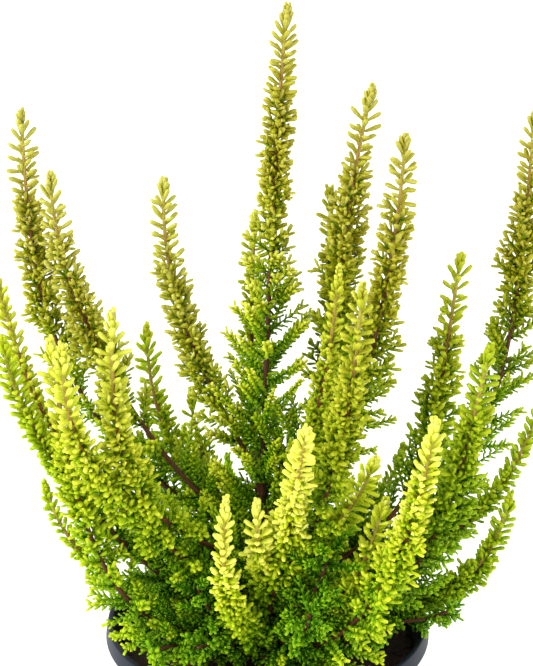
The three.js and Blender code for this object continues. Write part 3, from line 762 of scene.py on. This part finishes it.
def single_leaves(shoot, from_tip, azimuth):
    """The large leaves: closed over each other in the bud, spreading below it, smaller again low
    down."""
    random = shoot.random
    count = len(from_tip)
    hug = shoot.hug
    grown = from_tip + shoot.age
    place, heading, side = outward(shoot, from_tip, azimuth + random.normal(0, 0.12, count))
    opening = smooth_step(grown, shoot.bud * 0.65, shoot.bud * 1.25)
    swelling = smooth_step(grown, *STRETCH["bud_swells"])
    angle = LEAF_ANGLE["tip"] + LEAF_ANGLE["bud"] * swelling
    angle += (LEAF_ANGLE["open"] + LEAF_ANGLE["hug"] * hug) * opening
    angle += random.normal(0, LEAF_ANGLE["scatter"], count) * (0.3 + 0.7 * opening)
    angle = np.radians(angle)
    direction = swing(angle, heading, side) + 0.08 * random.normal(size=(count, 3))
    size = LEAF["in_bud"] + (LEAF["length"] - LEAF["in_bud"]) * smooth_step(grown, 1, shoot.bud)
    shrinking = 0.25 * smooth_step(grown, *STRETCH["leaves_shrink"])
    size = size * random.uniform(0.86, 1.12, count) * (1 - shrinking)
    size = size * (1 - 0.15 * hug) * shoot.leaf
    slim = (size / LEAF["length"]) ** 0.4 * (1 + 0.2 * hug)
    foot = place + side * (stalk_radius(from_tip) * 0.6)[:, None]
    fading = 0.2 * golden(shoot, 0) * smooth_step(grown, *STRETCH["gold_dulls_yellow"])
    fading = fading + shoot.fade * smooth_step(grown, *STRETCH["yellow_fades"])
    yellow = shoot.yellow * (1 - fading)
    tint = np.stack([yellow, random.random(count), golden(shoot, grown)], -1)
    curl = random.uniform(-0.04, 0.1, count)
    sizes = size, LEAF["half_width"] * slim, LEAF["half_thickness"] * slim
    return leaves(LARGE_SHAPE, foot, direction, heading, *sizes, curl, tint)


def is_clear_of_pot(points):
    """Which points are above the crust or the rim, or outside the lip."""
    out = np.hypot(points[:, 0], points[:, 1])
    inside = out < POT["rim_radius"] - POT["wall"]
    floor = np.where(inside, peat_height(*points[:, :2].T), POT["height"])
    return (points[:, 2] > floor) | (out > POT["lip_radius"])


def on_twig(share, foot, direction, heading, bend, length):
    """Places and headings at a share of twigs that lie along foot + length (share direction + bend
    share^2 heading)."""
    arch = (bend * share)[..., None] * heading
    return foot + (length * share)[..., None] * (direction + arch), unit(direction + 2 * arch)


def sprigs(shoot, from_tip, azimuth):
    """Side sprigs: a thin twig that curves up and crossed pairs of small leaves along it, which
    close at its end. It lengthens steadily down the shoot, from a tuft of a few broad leaves to a
    twig with many fine ones."""
    random = shoot.random
    count = len(from_tip)
    grown = from_tip + shoot.age
    scatter = 0.16 + 1.2 * smooth_step(grown, *STRETCH["sprigs_scatter"])
    place, heading, side = outward(shoot, from_tip, azimuth + scatter * random.normal(0, 1, count))
    angle = SPRIG_ANGLE["open"] + SPRIG_ANGLE["hug"] * shoot.hug
    angle = np.radians(angle + random.normal(0, SPRIG_ANGLE["scatter"], count))
    direction = unit(swing(angle, heading, side) + 0.07 * random.normal(size=(count, 3)))
    growth = SPRIG["growth"] * (grown - SPRIG["from"])
    reach = np.minimum(SPRIG["shortest"] + growth, SPRIG["longest"])
    skirt = shoot.skirt * smooth_step(grown, *STRETCH["skirt_widens"])
    reach = reach * (1 + skirt) * shoot.reach * random.uniform(0.76, 1.08, count)
    clear = is_clear_of_pot(place + reach[:, None] * direction)
    place, heading, side, direction, reach, grown = (
        each[clear] for each in (place, heading, side, direction, reach, grown)
    )
    count = len(grown)
    young = 1 - smooth_step(grown, *STRETCH["sprigs_turn_fine"])

    def aged(sizes, kind=""):
        """A size between its old and its young value."""
        return sizes["old" + kind] + (sizes["young" + kind] - sizes["old" + kind]) * young

    leaf_length = aged(SPRIG_LEAF) * (1 + (shoot.leaf - 1) * young)
    twig = np.maximum(reach - 0.8 * leaf_length, 0.8)
    bend = random.normal(0.12, 0.07, count)
    foot = place + side * (stalk_radius(grown) * 0.5)[:, None]
    lines = foot, direction, heading, bend, twig
    pairs = np.maximum(np.round(twig / aged(SPRIG_PITCH)), 1).astype(int)
    owner = np.repeat(np.arange(count), pairs)
    row = np.arange(len(owner)) - np.repeat(np.cumsum(pairs) - pairs, pairs)
    share = (row + 0.75) / pairs[owner]
    owner, row, share = (np.repeat(each, 2) for each in (owner, row, share))
    hand = np.tile([0, 1], len(owner) // 2)
    at, ahead = on_twig(np.minimum(share, 1), *(part[owner] for part in lines))
    roll = np.pi * hand + np.pi / 2 * row + random.random(count)[owner] * np.pi
    roll = roll + random.normal(0, 0.2, len(roll))
    first = unit(np.cross(ahead, heading[owner]))
    second = np.cross(ahead, first)
    closing = smooth_step(share, 0.45, 1.0)
    lean = TUFT_ANGLE["open"] + TUFT_ANGLE["closed"] * closing
    lean = np.radians(lean + random.normal(0, TUFT_ANGLE["scatter"], len(roll)))
    leaf_heading = swing(lean, ahead, swing(roll, first, second))
    bright = smooth_step(shoot.yellow, 0.4, 0.8)
    bright = bright * (1 - smooth_step(grown, *STRETCH["clubs_vanish"]))
    clubbed = closing * (bright * (1 - young))[owner]
    size = leaf_length[owner] * random.uniform(0.82, 1.12, len(roll)) * (1 + 0.3 * clubbed)
    fading = 0.75 * shoot.fade * smooth_step(grown, *STRETCH["sprigs_fade"])
    lit = shoot.yellow * (1.05 - fading)[owner]
    inner = 0.35 + 0.3 * young[owner]
    yellow = lit * (inner + (1 - inner) * smooth_step(share, 0.3, 1.0))
    tint = np.stack([yellow, random.random(len(roll)), golden(shoot, grown)[owner]], -1)
    breadth = aged(SPRIG_LEAF, "_half_width")[owner] * (1 + 0.1 * closing + 0.2 * clubbed)
    is_young = young[owner] > 0.35
    parts = []
    for shape, chosen in ((TUFT_SHAPE, is_young), (FINE_SHAPE, ~is_young)):
        stand = at[chosen], leaf_heading[chosen], ahead[chosen]
        sizes = size[chosen], breadth[chosen], 0.8 * breadth[chosen]
        curl = random.uniform(0.0, 0.12, chosen.sum())
        parts.append(leaves(shape, *stand, *sizes, curl, tint[chosen]))
    green = np.full(count, 0.3 * shoot.yellow)
    twig_tint = np.stack([green, random.random(count), np.zeros(count)], -1)
    thickness = TWIG["radius"] + TWIG["young_more"] * young
    parts.append(twigs(lines, thickness, twig_tint))
    return parts


def twigs(lines, radius, tint):
    """Three-sided tapering twigs of two rings, on the lines on which their leaves stand."""
    share = np.array([0.0, 1.0])
    sides = TWIG["sides"]
    places, headings = on_twig(share, *(part[:, None] for part in lines))
    first = unit(np.cross(headings, lines[2][:, None]))
    second = np.cross(headings, first)
    angle = 2 * np.pi * np.arange(sides) / sides
    circle = swing(angle, first[:, :, None], second[:, :, None])
    radius = radius[:, None] * (1 - TWIG["taper"] * share)
    rings = places[:, :, None] + radius[..., None, None] * circle
    rings = rings.reshape(len(radius), len(share) * sides, 3)
    points = np.concatenate([places[:, :1], rings, places[:, -1:]], 1)
    return copies(points, closed_skin(len(share), sides), tint, 0)


def stalk(shoot):
    """The leafy stretch of the stalk, from its bare stub up into the bud. Its growth is its age."""
    top, bottom = shoot.bud * 0.3, shoot.length - shoot.stub + 1
    from_tip = np.arange(top, bottom, LEAFY_STALK["step"])[::-1]
    places, headings, _ = shoot.at(from_tip)
    across = np.tile(shoot.side, (len(from_tip), 1))
    sides = LEAFY_STALK["sides"]
    points, triangles = tube(places, headings, across, stalk_radius(from_tip), sides)
    age = np.clip((from_tip + shoot.age) / LEAFY_STALK["brown"], 0, 1)
    growth = np.zeros((len(points), 4))
    growth[:, 0] = np.concatenate([age[:1], np.repeat(age, sides), age[-1:]])
    return points, triangles, growth


def leafy_shoot(shoot):
    """A whole shoot: pairs of leaves that stand crossed, each a little past a right angle from the
    last. Low down most pairs have fallen, and sprigs stand in their place."""
    random = shoot.random
    shoot.bud = random.uniform(*BUD_LENGTH)
    distances = node_distances(shoot)
    count = len(distances)
    pair = np.arange(count)
    turn = random.uniform(0, np.pi) + np.pi / 2 * pair + PAIR["twist"] * pair
    from_tip = np.repeat(distances, 2)
    grown = from_tip + shoot.age
    azimuth = np.repeat(turn, 2) + np.tile([0, np.pi], count)
    fallen = 0.75 * smooth_step(grown, *STRETCH["leaves_thin_out"])
    leafy = (random.random(2 * count) > fallen) & is_clear_of_pot(shoot.at(from_tip)[0])
    single = single_leaves(shoot, from_tip[leafy], azimuth[leafy])
    start = shoot.bud + random.uniform(2, 8) + SPRIG_SHARE["late"] * max(0, 1 - shoot.full)
    coming = smooth_step(grown, start, start + SPRIG_SHARE["comes_over"])
    on_stub = from_tip > shoot.length - shoot.stub
    chance = np.where(on_stub, SPRIG_SHARE["on_stub"], coming * SPRIG_SHARE["most"])
    branching = random.random(2 * count) < chance
    leaf_parts = [single, *sprigs(shoot, from_tip[branching], azimuth[branching])]
    parts = [*leaf_parts, stalk(shoot)]
    points, triangles = joined([part[:2] for part in parts])
    growth = np.concatenate([part[2] for part in parts])
    leaf_faces = sum(len(part[1]) for part in leaf_parts)
    finish_of = (np.arange(len(triangles)) >= leaf_faces).astype(int)
    return points, triangles, finish_of, growth


SIDES_OF_LIGHT = [[0, 0, 1], [-1, -1, 1], [1, -1, 1], [-1, 1, 1], [1, 1, 1], [0, -2, 1]]
LIGHT_FROM = unit(np.array(SIDES_OF_LIGHT, float))
CELL = 5
CELLS_OUT = np.arange(1.3, 14)
LEAVES_TO_HALVE = 32


def light_at(points, leaf_tips):
    """The share of the light from six sides that reaches each point: the mean of 1 / 2^(n / h),
    where n is the number of leaf tips in the cells on the way out and h the number that halves it."""
    low = leaf_tips.min(axis=0) - CELL
    shape = tuple(((leaf_tips.max(axis=0) - low) // CELL).astype(int) + 2)
    crowd = np.zeros(shape)
    np.add.at(crowd, tuple(((leaf_tips - low) // CELL).astype(int).T), 1)
    light = 0
    for way in LIGHT_FROM:
        passed = 0
        for step in CELLS_OUT:
            cell = ((points + way * step * CELL - low) // CELL).astype(int)
            within = ((cell >= 0) & (cell < shape)).all(axis=1)
            cell[~within] = 0
            passed = passed + np.where(within, crowd[tuple(cell.T)], 0)
        light = light + 0.5 ** (passed / LEAVES_TO_HALVE) / len(LIGHT_FROM)
    return light


# Leaf colours from dark green to yellow. The dark low end is partly painted shade: leaves that little
# light reaches fall to it.
GREEN_BY_HUE_AND_SHADE = {0: (36, 86, 0), 0.15: (80, 133, 5), 0.3: (116, 162, 10), 0.5: (150, 182, 17)}
GREEN_BY_HUE_AND_SHADE |= {0.7: (179, 196, 27), 0.85: (203, 211, 44), 1: (236, 240, 100)}
GOLD_BY_HUE_AND_SHADE = {0: (84, 92, 2), 0.25: (120, 122, 6), 0.5: (148, 145, 16)}
GOLD_BY_HUE_AND_SHADE |= {0.75: (166, 160, 42), 1: (178, 172, 76)}
STALK_BY_AGE = {0: (184, 182, 62), 0.13: (172, 142, 62), 0.24: (136, 80, 42)}
STALK_BY_AGE |= {0.5: (98, 52, 27), 1: (72, 38, 23)}

inner_light = {"Subsurface_Radius": (0.8, 1.0, 0.25), "Subsurface_Scale": 0.0016}
inner_light |= {"Subsurface_Weight": 0.6, "Specular_IOR_Level": 0.15}
leaf_finish = Finish("heather_leaf", Roughness=0.55, IOR=1.42, **inner_light)
tint, along_leaf = leaf_finish.growth("Color"), leaf_finish.growth("Alpha")
# The first growth number is the leaf's yellow, already scaled by the light that reaches it, so it carries
# painted shade as well as the leaf's own colour.
yellow, chance, gold = (
    leaf_finish.node("ShaderNodeSeparateColor", inputs=[tint], output=part) for part in range(3)
)
mottle = leaf_finish.noise(700, detail=3)
hue_and_painted_shade = yellow + (chance - 0.5) * 0.14 + (mottle - 0.5) * 0.14 + (along_leaf - 0.5) * 0.2
green_leaf = leaf_finish.ramp(hue_and_painted_shade, GREEN_BY_HUE_AND_SHADE)
golden_leaf = leaf_finish.ramp(hue_and_painted_shade, GOLD_BY_HUE_AND_SHADE)
leaf_finish.colour(leaf_finish.mixed(gold, green_leaf, golden_leaf))

stalk_finish = Finish("young_stalk", Roughness=0.7)
age = stalk_finish.node("ShaderNodeSeparateColor", inputs=[stalk_finish.growth("Color")])
flecks = stalk_finish.noise(1400, detail=4, stretch=(1, 1, 0.3))
stalk_finish.colour(stalk_finish.ramp(age + (flecks - 0.5) * 0.2, STALK_BY_AGE))
stalk_finish.bump(flecks, 0.15)

# A leaf's yellow is what its shoot and age give it, by the light that reaches it past the others.
# The same share paints shade into its colour: the less light reaches a leaf, the darker its green.
grown_shoots = [leafy_shoot(shoot) for shoot in shoots]
leaf_tips = np.concatenate([points[growth[:, 3] == 1] for points, _, _, growth in grown_shoots])
finishes = [leaf_finish, stalk_finish]
for shoot, (points, triangles, finish_of, growth) in zip(shoots, grown_shoots):
    is_leaf = np.ones(len(points), bool)
    is_leaf[triangles[finish_of == 1]] = False
    # Painted shade: scaled by the light that reaches it, a shaded leaf turns greener and darker.
    growth[is_leaf, 0] *= 0.3 + 0.8 * light_at(points[is_leaf], leaf_tips)
    leafy = add_piece(f"leafy_{shoot.name}", points, triangles, finishes, finish_of, growth)
    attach(leafy, "root")
    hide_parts(f"shoot_{shoot.name}")

# ---------------------------------------------------------------- studio
# A seamless pale floor under an evenly white sky, a broad soft lamp high up on the left, a cool
# window below it and a weaker, warmer one on the right.

PLANT_MIDDLE = (0, 0, 150)
FLOOR_HALF = 12000
SKY = {"colour": (1, 1, 1, 1), "strength": 1.1}
KEY = {"place": (-1000, -800, 1300), "strength": 1.2, "spread": 40}
WINDOWS = {
    "window_left": ((-900, -400, 500), 700, 5, (0.9, 0.96, 1.0)),
    "window_right": ((1000, -300, 500), 700, 2, (1.0, 0.95, 0.88)),
}

glow = {"Emission_Color": (1, 1, 1, 1), "Emission_Strength": 0.25}
floor_finish = Finish("studio_floor", Roughness=0.9, **glow)
floor_pale, floor_white = paint(240, 240, 240), paint(244, 244, 244)
floor_finish.colour(floor_finish.mixed(floor_finish.noise(2), floor_pale, floor_white))
floor_points = np.array([[x, y, 0] for x in (-1, 1) for y in (-1, 1)]) * FLOOR_HALF
floor = add_piece("floor", floor_points, np.array([[0, 2, 3], [0, 3, 1]]), [floor_finish])


def lamp(name, kind, place):
    """The light of a lamp that stands there, with its -Z axis turned to the plant's middle."""
    stand = bpy.data.objects.new(name, bpy.data.lights.new(name, kind))
    away = np.array(place, float) - PLANT_MIDDLE
    tilt = math.atan2(math.hypot(away[0], away[1]), away[2])
    stand.location = [part / METRE for part in place]
    stand.rotation_euler = (tilt, 0, math.atan2(away[0], -away[1]))
    bpy.context.scene.collection.objects.link(stand)
    return stand.data


key = lamp("key", "SUN", KEY["place"])
key.energy = KEY["strength"]
key.angle = math.radians(KEY["spread"])
for name, (place, size, power, colour) in WINDOWS.items():
    window = lamp(name, "AREA", place)
    window.size = size / METRE
    window.energy = power
    window.color = colour

world = bpy.data.worlds.new("studio")
world.use_nodes = True
sky = world.node_tree.nodes["Background"].inputs
sky["Color"].default_value = SKY["colour"]
sky["Strength"].default_value = SKY["strength"]
bpy.context.scene.world = world
bpy.context.scene.view_settings.view_transform = "Standard"
